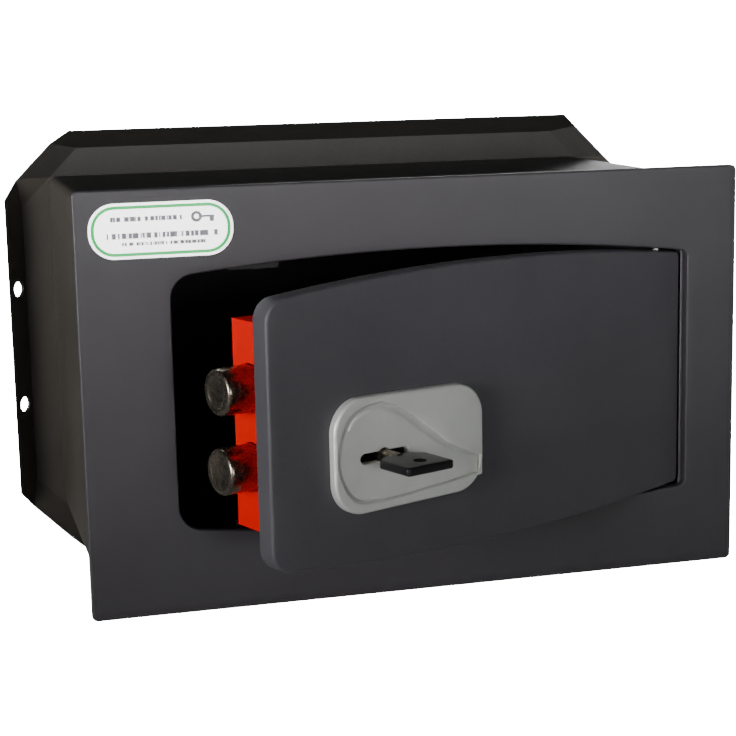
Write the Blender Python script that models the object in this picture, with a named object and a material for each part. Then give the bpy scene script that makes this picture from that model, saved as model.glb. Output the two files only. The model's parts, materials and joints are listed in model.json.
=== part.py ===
"""Built-in wall safe with a key lock and two round locking bolts.

Frame: +X to the right of someone facing the safe, +Z up, +Y into the wall.
The origin is the centre of the rear face of the back pan. Units are metres.
The door, and all that rides on it, is modelled shut and turned open by one empty.
"""
import math

import bmesh
import bpy
import numpy as np
from mathutils import Matrix, Vector

# ---- driving dimensions -----------------------------------------------------------------
GAP = 0.0003                 # clearance between touching pieces
DEPTH = 0.210                # face of the frame to the rear of the pan
FACE_Y = -DEPTH              # the plane of the frame's front face

FRAME_W, FRAME_H, FRAME_T = 0.340, 0.210, 0.004
FRAME_CORNER_R = 0.003
FRAME_EDGE_R = 0.0008

BODY_INSET = 0.007           # body wall inside the frame's edge, on all four sides
BODY_WALL = 0.003
BODY_CORNER_R = 0.005

OPENING_LEFT, OPENING_RIGHT = -0.125, 0.143
OPENING_PEAK = 0.0700        # half height at the crown of the arch
ARCH_RISE = 0.008            # crown above the end of the arch
OPENING_LEFT_R, OPENING_RIGHT_R = 0.012, 0.004

DOOR_GAP_LEFT, DOOR_GAP_RIGHT, DOOR_GAP_Z = 0.0063, 0.0045, 0.0017
DOOR_T = 0.011
DOOR_EDGE_R = 0.0012
DOOR_LEFT_R, DOOR_RIGHT_R = 0.0104, 0.003
DOOR_OPEN_DEG = 22.0         # how far the door stands open at rest
PIVOT_X, PIVOT_DEPTH = 0.1285, 0.0075
PIN_R = 0.0017
STRIP_X = (0.1413, 0.1500)   # filler strip on the hinge side

PAN_T = 0.0025
PAN_X, PAN_Z = 0.179, 0.114  # flat part of the pan, half sizes
PAN_CHAMFER = 0.033          # flat part's corner cut, along each side
RIM_W = 0.0105               # rim, seen from the front
RIM_SLOPE = 1.19             # rim's rise towards the front, per unit of width
RIM_TAPER = 0.005            # rim's outer edge runs on past the fold by this much
TAB_REACH_IN, TAB_REACH_OUT = 0.003, 0.0154
ANCHOR_HOLE_R = 0.0045
ANCHOR_HOLE_Z = 0.034

BOLT_R = 0.011
BOLT_DEPTH = 0.038           # bolt axis behind the door's front face
BOLT_Z = (0.0162, -0.0208)
BOLT_END_X = -0.1216         # bolt ends with the bolts drawn back
BOLT_REAR_X = -0.0822
BOLT_THROW = 0.016
BOLT_BORE_R = 0.0114
BOLT_CHAMFER = 0.0025
CARRIAGE_T = 0.003           # upright leg of the carriage

CASE_X = (-0.1032, 0.030)    # red lock case behind the door
CASE_Z = (-0.0513, 0.0470)
CASE_DEPTH = 0.052
CASE_WALL = 0.0015

KEY_X, KEY_Z = -0.0582, -0.0154
KEY_STEM_R = 0.003
KEY_STEM_START = -0.0150     # the stem ends inside the grip
KEY_BIT_HALF = 0.012
KEY_BIT_T = 0.002
KEY_BIT_DEPTH = (0.0165, 0.0292)
KEYHOLE_HALF, KEYHOLE_H = 0.0137, 0.0046
BOW_DEPTH = (-0.0380, -0.0118)
BOW_HALF, BOW_T = 0.0132, 0.0048
BOW_HOLE_DEPTH, BOW_HOLE_R = -0.0295, 0.0032

LOCK_X = (-0.0782, -0.0192)  # key lock housing
LOCK_Z = (-0.0339, 0.0121)
LOCK_DEPTH = (0.0136, 0.0311)
LOCK_WALL = 0.0018
LEVER_COUNT = 5
LEVER_T = 0.0018
LEVER_PITCH = 0.0021
LEVER_EYE_R = 0.0130         # clearance eye round the turning key bits
LEVER_PIVOT = (-0.0292, 0.0031)

COVER_T = 0.0016             # lock cover
GUIDE_X, GUIDE_Z = (-0.0652, -0.0362), 0.0056

DRIVE_R = 0.0136             # drive disc at the key's tip
CRANK_PIN_RADIUS = 0.009


# ---- helpers ----------------------------------------------------------------------------
def clear_scene():
    for item in list(bpy.data.objects):
        bpy.data.objects.remove(item, do_unlink=True)


def material(name, colour, roughness, metallic=0.0):
    mat = bpy.data.materials.new(name)
    mat.use_nodes = True
    shader = mat.node_tree.nodes["Principled BSDF"]
    shader.inputs["Base Color"].default_value = (*colour, 1.0)
    shader.inputs["Roughness"].default_value = roughness
    shader.inputs["Metallic"].default_value = metallic
    mat.diffuse_color = (*colour, 1.0)
    return mat


def add_mesh(name, bm, mat, smooth=False):
    """Link the bmesh as a named object, with its faces pointing outwards."""
    bmesh.ops.recalc_face_normals(bm, faces=bm.faces)
    mesh = bpy.data.meshes.new(name)
    bm.to_mesh(mesh)
    bm.free()
    if smooth:
        mesh.shade_smooth()
        mesh.set_sharp_from_angle(angle=math.radians(35))
    obj = bpy.data.objects.new(name, mesh)
    bpy.context.scene.collection.objects.link(obj)
    if mat is not None:
        mesh.materials.append(mat)
    return obj


def extend(bm, corners, reach):
    """Close a face over the corners and extrude it along the reach vector."""
    face = bm.faces.new(corners)
    grown = bmesh.ops.extrude_face_region(bm, geom=[face])
    moved = [item for item in grown["geom"] if isinstance(item, bmesh.types.BMVert)]
    bmesh.ops.translate(bm, verts=moved, vec=reach)


def prism_bmesh(bm, outline, depth_front, depth_rear):
    """Extrude a closed outline of (x, z) points between two depths behind the front face."""
    corners = [bm.verts.new((x, FACE_Y + depth_front, z)) for x, z in outline]
    extend(bm, corners, (0.0, depth_rear - depth_front, 0.0))


def plan_bmesh(bm, outline, low, height):
    """Extrude a closed outline of (x, depth) points upwards."""
    corners = [bm.verts.new((x, FACE_Y + depth, low)) for x, depth in outline]
    extend(bm, corners, (0.0, 0.0, height))


def prism(name, outline, depth_front, depth_rear, mat, smooth=False):
    bm = bmesh.new()
    prism_bmesh(bm, outline, depth_front, depth_rear)
    return add_mesh(name, bm, mat, smooth)


def box_bmesh(bm, x_range, depth_range, z_range):
    corners = [(x_range[0], z_range[0]), (x_range[1], z_range[0]),
               (x_range[1], z_range[1]), (x_range[0], z_range[1])]
    prism_bmesh(bm, corners, *depth_range)


def box(name, x_range, depth_range, z_range, mat):
    bm = bmesh.new()
    box_bmesh(bm, x_range, depth_range, z_range)
    return add_mesh(name, bm, mat)


def turned_bmesh(bm, profile, start, direction, segments):
    """Spin a profile of (distance along the axis, radius) pairs about an axis."""
    along = Vector(direction).normalized()
    side = along.orthogonal().normalized()
    other = along.cross(side)
    centre = Vector(start)
    rings = []
    for distance, radius in profile:
        ring = []
        for step in range(segments):
            turn = 2.0 * math.pi * step / segments
            spoke = side * math.cos(turn) + other * math.sin(turn)
            ring.append(bm.verts.new(centre + along * distance + spoke * radius))
        rings.append(ring)
    bm.faces.new(rings[0])
    bm.faces.new(rings[-1])
    for low, high in zip(rings, rings[1:]):
        for step in range(segments):
            following = (step + 1) % segments
            bm.faces.new((low[step], low[following], high[following], high[step]))


def turned(name, profile, start, direction, mat, segments=24):
    bm = bmesh.new()
    turned_bmesh(bm, profile, start, direction, segments)
    return add_mesh(name, bm, mat, smooth=True)


def cutter(name, bm):
    tool = add_mesh(name, bm, None)
    tool.hide_render = True
    tool.display_type = "WIRE"
    return tool


def cut_away(obj, bm):
    """Subtract the bmesh's bodies from the object."""
    tool = cutter(obj.name + "_cutter", bm)
    change = obj.modifiers.new("cut", "BOOLEAN")
    change.operation = "DIFFERENCE"
    change.object = tool
    return tool


def round_edges(obj, width, segments=2):
    """Bevel the sharp outer edges of a piece, before anything is cut from it."""
    change = obj.modifiers.new("round_edges", "BEVEL")
    change.width = width
    change.segments = segments
    change.limit_method = "ANGLE"
    change.angle_limit = math.radians(50)


def circle(centre_x, centre_z, radius, segments=24):
    turns = np.linspace(0.0, 2.0 * math.pi, segments, endpoint=False)
    return [(centre_x + radius * math.cos(t), centre_z + radius * math.sin(t)) for t in turns]


def rounded_rectangle(x_range, z_range, radius, steps=5):
    """Outline of a rectangle with round corners, counter-clockwise from the right side."""
    outline = []
    corners = ((x_range[1], z_range[1], 0), (x_range[0], z_range[1], 90),
               (x_range[0], z_range[0], 180), (x_range[1], z_range[0], 270))
    for x, z, start in corners:
        inner_x = x - radius if x == x_range[1] else x + radius
        inner_z = z - radius if z == z_range[1] else z + radius
        for turn in np.radians(np.linspace(start, start + 90, steps + 1)):
            outline.append((inner_x + radius * math.cos(turn), inner_z + radius * math.sin(turn)))
    return outline


def arched_outline(left, right, peak, left_r, right_r, arch_steps=16, corner_steps=5):
    """Straight sides, an arched top and bottom, and fillets where they meet."""
    middle = (OPENING_LEFT + OPENING_RIGHT) / 2.0
    opening_half = (OPENING_RIGHT - OPENING_LEFT) / 2.0
    arch_r = (opening_half ** 2 + ARCH_RISE ** 2) / (2.0 * ARCH_RISE)
    arch_z = peak - arch_r
    right_x, left_x = right - right_r, left + left_r
    right_z = arch_z + math.sqrt((arch_r - right_r) ** 2 - (right_x - middle) ** 2)
    left_z = arch_z + math.sqrt((arch_r - left_r) ** 2 - (left_x - middle) ** 2)
    right_meet = math.atan2(right_z - arch_z, right_x - middle)
    left_meet = math.atan2(left_z - arch_z, left_x - middle)
    top = []
    for centre_x, centre_z, radius, start, end, steps in (
            (right_x, right_z, right_r, 0.0, right_meet, corner_steps),
            (middle, arch_z, arch_r, right_meet, left_meet, arch_steps),
            (left_x, left_z, left_r, left_meet, math.pi, corner_steps)):
        turns = np.linspace(start, end, steps + 1)
        for turn in turns[1:] if top else turns:
            top.append((centre_x + radius * math.cos(turn), centre_z + radius * math.sin(turn)))
    return top + [(x, -z) for x, z in reversed(top)]


def keyhole_bmesh(depth_front, depth_rear, margin=0.0):
    """A round centre for the stem with a slot on each side for the key's two bits."""
    half_height = KEYHOLE_H / 2.0 + margin
    reach = KEYHOLE_HALF + margin - half_height
    centre_r = KEY_STEM_R + 0.0006 + margin
    notch = math.degrees(math.asin(half_height / centre_r))
    outline = []
    for middle, radius, start, end, steps in ((reach, half_height, -90, 90, 8),
                                              (0.0, centre_r, notch, 180 - notch, 8),
                                              (-reach, half_height, 90, 270, 8),
                                              (0.0, centre_r, 180 + notch, 360 - notch, 8)):
        for turn in np.radians(np.linspace(start, end, steps + 1)):
            outline.append((KEY_X + middle + radius * math.cos(turn), KEY_Z + radius * math.sin(turn)))
    bm = bmesh.new()
    prism_bmesh(bm, outline, depth_front, depth_rear)
    return bm


# ---- the fixed body ---------------------------------------------------------------------
def front_frame(mat):
    outline = rounded_rectangle((-FRAME_W / 2, FRAME_W / 2), (-FRAME_H / 2, FRAME_H / 2), FRAME_CORNER_R)
    plate = prism("front_frame", outline, 0.0, FRAME_T, mat, smooth=True)
    round_edges(plate, FRAME_EDGE_R)
    opening = arched_outline(OPENING_LEFT, OPENING_RIGHT, OPENING_PEAK, OPENING_LEFT_R, OPENING_RIGHT_R)
    bm = bmesh.new()
    prism_bmesh(bm, opening, -0.01, FRAME_T + 0.01)
    cut_away(plate, bm)


def body_shell(mat):
    """Folded sheet tube, open to the front frame and to the back pan."""
    half_x = FRAME_W / 2 - BODY_INSET
    half_z = FRAME_H / 2 - BODY_INSET
    outer = rounded_rectangle((-half_x, half_x), (-half_z, half_z), BODY_CORNER_R)
    tube = prism("body_shell", outer, FRAME_T + GAP, DEPTH - PAN_T - GAP, mat, smooth=True)
    inner_x = half_x - BODY_WALL
    inner_z = half_z - BODY_WALL
    inner = rounded_rectangle((-inner_x, inner_x), (-inner_z, inner_z), BODY_CORNER_R - BODY_WALL)
    bm = bmesh.new()
    prism_bmesh(bm, inner, -0.01, DEPTH + 0.01)
    cut_away(tube, bm)


def pan_quadrant_points():
    """Fold and edge points of the pan in its (+X, +Z) quarter, with their rise to the front."""
    rim_rise = RIM_SLOPE * RIM_W
    tab_rise = RIM_SLOPE * TAB_REACH_IN
    fold_side = (PAN_X, PAN_Z - PAN_CHAMFER, 0.0)
    fold_top = (PAN_X - PAN_CHAMFER, PAN_Z, 0.0)
    tab_side = (PAN_X + TAB_REACH_IN, PAN_Z - PAN_CHAMFER + TAB_REACH_OUT, tab_rise)
    tab_top = (PAN_X - PAN_CHAMFER + TAB_REACH_OUT, PAN_Z + TAB_REACH_IN, tab_rise)
    rim_side = (PAN_X + RIM_W, PAN_Z - PAN_CHAMFER + RIM_TAPER, rim_rise)
    rim_top = (PAN_X - PAN_CHAMFER + RIM_TAPER, PAN_Z + RIM_W, rim_rise)
    return fold_side, fold_top, tab_side, tab_top, rim_side, rim_top


def back_pan(mat):
    """Rear plate with four rims and four corner tabs folded forward to grip the mortar."""
    bm = bmesh.new()
    rear = {}
    front = {}
    quarters = ((1, 1), (-1, 1), (-1, -1), (1, -1))
    for quarter in quarters:
        for index, (x, z, rise) in enumerate(pan_quadrant_points()):
            place = (quarter[0] * x, -rise, quarter[1] * z)
            rear[quarter, index] = bm.verts.new(place)
            front[quarter, index] = bm.verts.new((place[0], place[1] - PAN_T, place[2]))
    patches = [[((1, 1), 0), ((1, 1), 1), ((-1, 1), 1), ((-1, 1), 0),
                ((-1, -1), 0), ((-1, -1), 1), ((1, -1), 1), ((1, -1), 0)]]
    for quarter in quarters:
        patches.append([(quarter, 0), (quarter, 2), (quarter, 3), (quarter, 1)])
    for side in (1, -1):
        upper, lower = (side, 1), (side, -1)
        patches.append([(upper, 0), (upper, 2), (upper, 4), (lower, 4), (lower, 2), (lower, 0)])
        right, left = (1, side), (-1, side)
        patches.append([(right, 1), (right, 3), (right, 5), (left, 5), (left, 3), (left, 1)])
    edge_use = {}
    for patch in patches:
        bm.faces.new([rear[key] for key in patch])
        bm.faces.new([front[key] for key in patch])
        for pair in zip(patch, patch[1:] + patch[:1]):
            edge_use.setdefault(frozenset(pair), []).append(pair)
    for uses in edge_use.values():
        if len(uses) == 1:
            first, second = uses[0]
            bm.faces.new((rear[first], rear[second], front[second], front[first]))
    pan = add_mesh("back_pan", bm, mat)
    holes = bmesh.new()
    rim_middle = PAN_X + RIM_W / 2.0
    for side in (1, -1):
        normal = Vector((-side * RIM_SLOPE, -1.0, 0.0)).normalized()
        for level in (1, -1):
            middle = Vector((side * rim_middle, -RIM_SLOPE * RIM_W / 2.0 - PAN_T / 2.0,
                             level * ANCHOR_HOLE_Z))
            reach = 0.004
            turned_bmesh(holes, [(0.0, ANCHOR_HOLE_R), (2 * reach, ANCHOR_HOLE_R)],
                         middle - normal * reach, normal, 20)
    cut_away(pan, holes)


def strike_post(mat):
    """Folded angle behind the frame's left side, with the two holes that the bolts enter."""
    bm = bmesh.new()
    web = (-0.1305, -0.1280)
    foot_end = -0.148
    rear = 0.054
    outline = [(web[1], FRAME_T + GAP), (web[1], rear), (web[0], rear), (web[0], FRAME_T + GAP + 0.0025),
               (foot_end, FRAME_T + GAP + 0.0025), (foot_end, FRAME_T + GAP)]
    half_height = 0.056
    plan_bmesh(bm, outline, -half_height, 2 * half_height)
    post = add_mesh("strike_post", bm, mat)
    holes = bmesh.new()
    for level in BOLT_Z:
        start = (web[0] - 0.004, FACE_Y + BOLT_DEPTH, level)
        turned_bmesh(holes, [(0.0, BOLT_R + 0.0012), (0.010, BOLT_R + 0.0012)], start, (1, 0, 0), 28)
    cut_away(post, holes)


def hinge_parts(steel, bronze):
    """Brackets behind the frame, each with a bush and the pin that the door turns on."""
    bush_r = 0.0025
    low, high = 0.0655, 0.0755
    tip, head = 0.0520, 0.0780
    for side, name in ((1, "upper"), (-1, "lower")):
        axis = (0, 0, side)
        bracket = box("hinge_bracket_" + name, (PIVOT_X - 0.013, STRIP_X[1]),
                      (FRAME_T + GAP, 0.0145), sorted((side * low, side * high)), steel)
        hole = bmesh.new()
        turned_bmesh(hole, [(0.0, bush_r + GAP), (0.03, bush_r + GAP)], pivot_point(side * 0.060), axis, 20)
        cut_away(bracket, hole)
        pin = [(0.0, PIN_R * 0.7), (0.0008, PIN_R), (head - tip - 0.0005, PIN_R), (head - tip, PIN_R * 0.8)]
        turned("hinge_pin_" + name, pin, pivot_point(side * tip), axis, steel, 20)
        bush = turned("hinge_bush_" + name, [(0.0, bush_r), (high - low, bush_r)],
                      pivot_point(side * (low - GAP)), axis, bronze, 20)
        bore = bmesh.new()
        turned_bmesh(bore, [(0.0, PIN_R + GAP), (0.03, PIN_R + GAP)], pivot_point(side * 0.060), axis, 20)
        cut_away(bush, bore)


def hinge_strip(mat):
    """Fixed strip that closes the opening's hinge side beside the door's edge."""
    strip = box("hinge_strip", STRIP_X, (FRAME_T + GAP, 0.0107), (-0.0652, 0.0652), mat)
    round_edges(strip, 0.0005, 1)


def pivot_point(height):
    return PIVOT_X, FACE_Y + PIVOT_DEPTH, height


def door_stops(mat):
    """Two tabs behind the frame that the shut door rests against."""
    front, face, rear = FRAME_T + GAP, DOOR_T + 0.0004, DOOR_T + 0.0029
    for side, name in ((1, "upper"), (-1, "lower")):
        tip, inner, outer = side * 0.0630, side * 0.0775, side * 0.0800
        section = [(front, inner), (face, inner), (face, tip), (rear, tip), (rear, outer), (front, outer)]
        bm = bmesh.new()
        corners = [bm.verts.new((-0.095, FACE_Y + depth, z)) for depth, z in section]
        extend(bm, corners, (0.025, 0.0, 0.0))
        add_mesh("door_stop_" + name, bm, mat)


def front_label(mat):
    outline = rounded_rectangle((-0.1630, -0.0937), (0.0722, 0.0987), 0.0125, 6)
    prism("front_label", outline, -GAP - 0.0003, -GAP, mat)


# ---- the door ---------------------------------------------------------------------------
def door_plate(mat):
    outline = arched_outline(OPENING_LEFT + DOOR_GAP_LEFT, OPENING_RIGHT - DOOR_GAP_RIGHT,
                             OPENING_PEAK - DOOR_GAP_Z, DOOR_LEFT_R, DOOR_RIGHT_R)
    plate = prism("door_plate", outline, 0.0, DOOR_T, mat, smooth=True)
    round_edges(plate, DOOR_EDGE_R)
    tool = cut_away(plate, keyhole_bmesh(-0.01, DOOR_T + 0.01))
    bores = bmesh.new()
    for side in (1, -1):
        turned_bmesh(bores, [(0.0, PIN_R + GAP), (0.03, PIN_R + GAP)],
                     pivot_point(side * 0.0510), (0, 0, side), 20)
    second = cutter("door_plate_pivot_cutter", bores)
    change = plate.modifiers.new("pivot_bores", "BOOLEAN")
    change.operation = "DIFFERENCE"
    change.object = second
    return [plate, tool, second]


def hinge_side_bar(mat):
    """Fixed bar on the door's rear that catches behind the frame on the hinge side."""
    bar = box("hinge_side_bar", (0.1285, 0.1450), (DOOR_T + GAP, DOOR_T + 0.005), (-0.040, 0.040), mat)
    round_edges(bar, 0.0006, 1)
    return [bar]


def anti_drill_plate(mat):
    plate = box("anti_drill_plate", (LOCK_X[0] - 0.009, LOCK_X[1] + 0.004), (DOOR_T + GAP, LOCK_DEPTH[0] - GAP),
                (-0.040, 0.018), mat)
    tool = cut_away(plate, keyhole_bmesh(0.0, 0.03))
    return [plate, tool]


def lock_case(mat):
    """Folded red tray over the lock, open towards the door, with the two bolt holes."""
    case = box("lock_case", CASE_X, (DOOR_T + GAP, CASE_DEPTH), CASE_Z, mat)
    hollow = bmesh.new()
    box_bmesh(hollow, (CASE_X[0] + CASE_WALL, CASE_X[1] - CASE_WALL), (0.0, CASE_DEPTH - CASE_WALL),
              (CASE_Z[0] + CASE_WALL, CASE_Z[1] - CASE_WALL))
    first = cut_away(case, hollow)
    holes = bmesh.new()
    for level in BOLT_Z:
        start = (CASE_X[0] - 0.004, FACE_Y + BOLT_DEPTH, level)
        turned_bmesh(holes, [(0.0, BOLT_BORE_R), (0.010, BOLT_BORE_R)], start, (1, 0, 0), 28)
    for x, z in stud_places():
        start = (x, FACE_Y + CASE_DEPTH - 0.006, z)
        turned_bmesh(holes, [(0.0, 0.0023), (0.012, 0.0023)], start, (0, 1, 0), 16)
    second = cutter("lock_case_hole_cutter", holes)
    change = case.modifiers.new("holes", "BOOLEAN")
    change.operation = "DIFFERENCE"
    change.object = second
    return [case, first, second]


def stud_places():
    inset = 0.008
    return [(x, z) for x in (CASE_X[0] + inset + 0.008, CASE_X[1] - inset)
            for z in (CASE_Z[0] + inset, CASE_Z[1] - inset)]


def case_fixings(steel):
    """Welded studs that carry the case, and the nuts that hold it."""
    made = []
    reach = CASE_DEPTH + 0.0045 - DOOR_T
    for index, (x, z) in enumerate(stud_places(), 1):
        profile = [(0.0, 0.0020), (reach - 0.0005, 0.0020), (reach, 0.0015)]
        start = (x, FACE_Y + DOOR_T + GAP, z)
        made.append(turned(f"case_stud_{index}", profile, start, (0, 1, 0), steel, 16))
        start = (x, FACE_Y + CASE_DEPTH + GAP, z)
        nut = turned(f"case_nut_{index}", [(0.0, 0.0040), (0.0032, 0.0040)], start, (0, 1, 0), steel, 6)
        bore = bmesh.new()
        turned_bmesh(bore, [(0.0, 0.0023), (0.010, 0.0023)],
                     (x, FACE_Y + CASE_DEPTH - 0.003, z), (0, 1, 0), 16)
        made += [nut, cut_away(nut, bore)]
    return made


def bolt_guide(mat):
    """Upright plate inside the case that carries the bolts behind the case wall."""
    left = CASE_X[0] + CASE_WALL + 0.0004
    guide = box("bolt_guide", (left, left + 0.0028), (DOOR_T + GAP, CASE_DEPTH - CASE_WALL - GAP),
                (BOLT_Z[1] - 0.0165, BOLT_Z[0] + 0.0165), mat)
    holes = bmesh.new()
    for level in BOLT_Z:
        start = (left - 0.005, FACE_Y + BOLT_DEPTH, level)
        turned_bmesh(holes, [(0.0, BOLT_R + 0.00015), (0.014, BOLT_R + 0.00015)], start, (1, 0, 0), 28)
    tool = cut_away(guide, holes)
    return [guide, tool]


def lock_housing(mat):
    """Tray that holds the levers, open to the rear, with the keyhole in its floor."""
    tray = box("lock_housing", LOCK_X, LOCK_DEPTH, LOCK_Z, mat)
    hollow = bmesh.new()
    box_bmesh(hollow, (LOCK_X[0] + LOCK_WALL, LOCK_X[1] - LOCK_WALL),
              (LOCK_DEPTH[0] + LOCK_WALL, LOCK_DEPTH[1] + 0.01),
              (LOCK_Z[0] + LOCK_WALL, LOCK_Z[1] - LOCK_WALL))
    first = cut_away(tray, hollow)
    second = cutter("lock_housing_keyhole_cutter", keyhole_bmesh(0.0, LOCK_DEPTH[0] + LOCK_WALL + 0.001))
    change = tray.modifiers.new("keyhole", "BOOLEAN")
    change.operation = "DIFFERENCE"
    change.object = second
    return [tray, first, second]


def lever_outline(gate_shift):
    """An eye round the key and an arm to the pivot, with a gate notch in the arm's top."""
    ring_r = LEVER_EYE_R + 0.0024
    pivot_x, pivot_z = LEVER_PIVOT
    outline = []
    for turn in np.radians(np.linspace(70, 345, 22)):
        outline.append((KEY_X + ring_r * math.cos(turn), KEY_Z + ring_r * math.sin(turn)))
    outline.append((pivot_x - 0.002, pivot_z - 0.0050))
    for turn in np.radians(np.linspace(-70, 90, 8)):
        outline.append((pivot_x + 0.0045 * math.cos(turn), pivot_z + 0.0045 * math.sin(turn)))
    gate_x = pivot_x - 0.013 + gate_shift
    top = pivot_z + 0.0045
    outline.append((gate_x + 0.0015, top))
    outline.append((gate_x + 0.0015, top - 0.003))
    outline.append((gate_x - 0.0015, top - 0.003))
    outline.append((gate_x - 0.0015, top))
    return outline


def levers(mat):
    made = []
    for index in range(LEVER_COUNT):
        front = LOCK_DEPTH[0] + LOCK_WALL + GAP + index * LEVER_PITCH
        shift = (0.0, 0.0012, -0.0008, 0.0006, -0.0014)[index]
        lever = prism(f"lever_{index + 1}", lever_outline(shift), front, front + LEVER_T, mat)
        holes = bmesh.new()
        prism_bmesh(holes, circle(KEY_X, KEY_Z, LEVER_EYE_R, 32), front - 0.002, front + LEVER_T + 0.002)
        prism_bmesh(holes, circle(*LEVER_PIVOT, 0.0023, 14), front - 0.002, front + LEVER_T + 0.002)
        made += [lever, cut_away(lever, holes)]
    return made


def lever_post(mat):
    start = (LEVER_PIVOT[0], FACE_Y + LOCK_DEPTH[0] + LOCK_WALL + GAP, LEVER_PIVOT[1])
    length = LOCK_DEPTH[1] - LOCK_DEPTH[0] - LOCK_WALL - 2 * GAP
    post = turned("lever_post", [(0.0, 0.0020), (length, 0.0020)], start, (0, 1, 0), mat, 16)
    return [post]


def lever_springs(mat):
    """One bent blade over each lever, under the housing's top wall."""
    made = []
    wall = LOCK_Z[1] - LOCK_WALL - GAP
    thick = 0.0003
    for index in range(LEVER_COUNT):
        front = LOCK_DEPTH[0] + LOCK_WALL + GAP + index * LEVER_PITCH + 0.0004
        upper = []
        for share in np.linspace(0.0, 1.0, 7):
            drop = 0.0013 * math.sin(math.pi * share)
            upper.append((LOCK_X[0] + 0.007 + 0.020 * share, wall - drop - 0.0002))
        lower = [(x, z - thick) for x, z in reversed(upper)]
        made.append(prism(f"lever_spring_{index + 1}", upper + lower, front, front + 0.0010, mat))
    return made


def lock_cover(mat):
    plate = box("lock_cover", LOCK_X, (LOCK_DEPTH[1] + GAP, LOCK_DEPTH[1] + COVER_T + GAP), LOCK_Z, mat)
    holes = bmesh.new()
    depths = (LOCK_DEPTH[1] - 0.002, LOCK_DEPTH[1] + 0.004)
    prism_bmesh(holes, circle(KEY_X, KEY_Z, 0.0043, 24), *depths)
    for x, z in lock_screw_places():
        prism_bmesh(holes, circle(x, z, 0.0017, 14), *depths)
    return [plate, cut_away(plate, holes)]


def lock_screw_places():
    inset = 0.0042
    return [(x, z) for x in (LOCK_X[0] + inset, LOCK_X[1] - inset)
            for z in (LOCK_Z[0] + inset, LOCK_Z[1] - inset)]


def lock_screws(mat):
    made = []
    head_front = LOCK_DEPTH[1] + COVER_T + 2 * GAP
    for index, (x, z) in enumerate(lock_screw_places(), 1):
        profile = [(0.0, 0.0014), (0.0042, 0.0014), (0.0042, 0.0027), (0.0052, 0.0027), (0.0059, 0.0018)]
        start = (x, FACE_Y + head_front - 0.0042, z)
        made.append(turned(f"lock_screw_{index}", profile, start, (0, 1, 0), mat, 14))
    return made


def carriage_guides(mat):
    """Two shouldered posts on the cover plate that the carriage slides along."""
    made = []
    for x, name in zip(GUIDE_X, ("left", "right")):
        profile = [(0.0, 0.0030), (0.0018, 0.0030), (0.0018, 0.0015), (0.0060, 0.0015),
                   (0.0060, 0.0030), (0.0072, 0.0030)]
        start = (x, FACE_Y + LOCK_DEPTH[1] + COVER_T + 2 * GAP, GUIDE_Z)
        made.append(turned("carriage_guide_" + name, profile, start, (0, 1, 0), mat, 16))
    return made


def escutcheon(mat):
    """Cast key plate with a sunk drop-shaped panel round the keyhole."""
    outline = rounded_rectangle((-0.0868, 0.0004), (-0.0410, 0.0132), 0.0160, 7)
    plate = prism("escutcheon", outline, -GAP - 0.0042, -GAP, mat, smooth=True)
    round_edges(plate, 0.0014, 3)
    first = cut_away(plate, keyhole_bmesh(-0.02, 0.01))
    recess = bmesh.new()
    prism_bmesh(recess, drop_outline(0.0), -GAP - 0.010, -GAP - 0.0030)
    second = cutter("escutcheon_recess_cutter", recess)
    change = plate.modifiers.new("recess", "BOOLEAN")
    change.operation = "DIFFERENCE"
    change.object = second
    return [plate, first, second]


def drop_outline(inset):
    """Round to the left, then an S-curve above and a slow rise below to the right edge."""
    upper = smooth_run([(-0.0600, 0.0097), (-0.0480, 0.0055), (-0.0347, -0.0038),
                        (-0.0205, -0.0146), (-0.0092, -0.0209), (-0.0012, -0.0238)], 14)
    lower = smooth_run([(-0.0012, -0.0328), (-0.0244, -0.0346), (-0.0425, -0.0361), (-0.0601, -0.0372)], 8)
    left = smooth_run([(-0.0601, -0.0372), (-0.0750, -0.0345), (-0.0832, -0.0235), (-0.0845, -0.0110),
                       (-0.0790, 0.0035), (-0.0700, 0.0088), (-0.0600, 0.0097)], 16)
    outline = upper + lower[:-1] + left[:-1]
    shrunk = []
    for x, z in outline:
        away = math.hypot(x - KEY_X, z - KEY_Z)
        shrunk.append((x - inset * (x - KEY_X) / away, z - inset * (z - KEY_Z) / away))
    return shrunk


def smooth_run(points, steps):
    """Catmull-Rom curve through a few outline points."""
    ends = [2 * np.array(points[0]) - np.array(points[1]), 2 * np.array(points[-1]) - np.array(points[-2])]
    knots = [ends[0]] + [np.array(point) for point in points] + [ends[1]]
    made = []
    for step in range(steps + 1):
        place = step / steps * (len(points) - 1)
        index = min(int(place), len(points) - 2)
        share = place - index
        before, start, end, after = knots[index:index + 4]
        spot = 0.5 * (2 * start + (end - before) * share
                      + (2 * before - 5 * start + 4 * end - after) * share ** 2
                      + (3 * start - before - 3 * end + after) * share ** 3)
        made.append((float(spot[0]), float(spot[1])))
    return made


def escutcheon_inlay(mat):
    """Thin satin panel lying in the recess."""
    panel = prism("escutcheon_inlay", drop_outline(0.0008), -GAP - 0.0038, -GAP - 0.0030 - GAP, mat)
    tool = cut_away(panel, keyhole_bmesh(-0.02, 0.01, 0.0002))
    return [panel, tool]


# ---- the bolt works ---------------------------------------------------------------------
def bolts(mat):
    made = []
    length = BOLT_REAR_X - BOLT_END_X
    for level, name in zip(BOLT_Z, ("bolt_upper", "bolt_lower")):
        profile = [(0.0, BOLT_R - BOLT_CHAMFER), (BOLT_CHAMFER * 0.35, BOLT_R - BOLT_CHAMFER * 0.4),
                   (BOLT_CHAMFER, BOLT_R), (length, BOLT_R)]
        made.append(turned(name, profile, (BOLT_END_X, FACE_Y + BOLT_DEPTH, level), (1, 0, 0), mat, 32))
    return made


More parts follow.
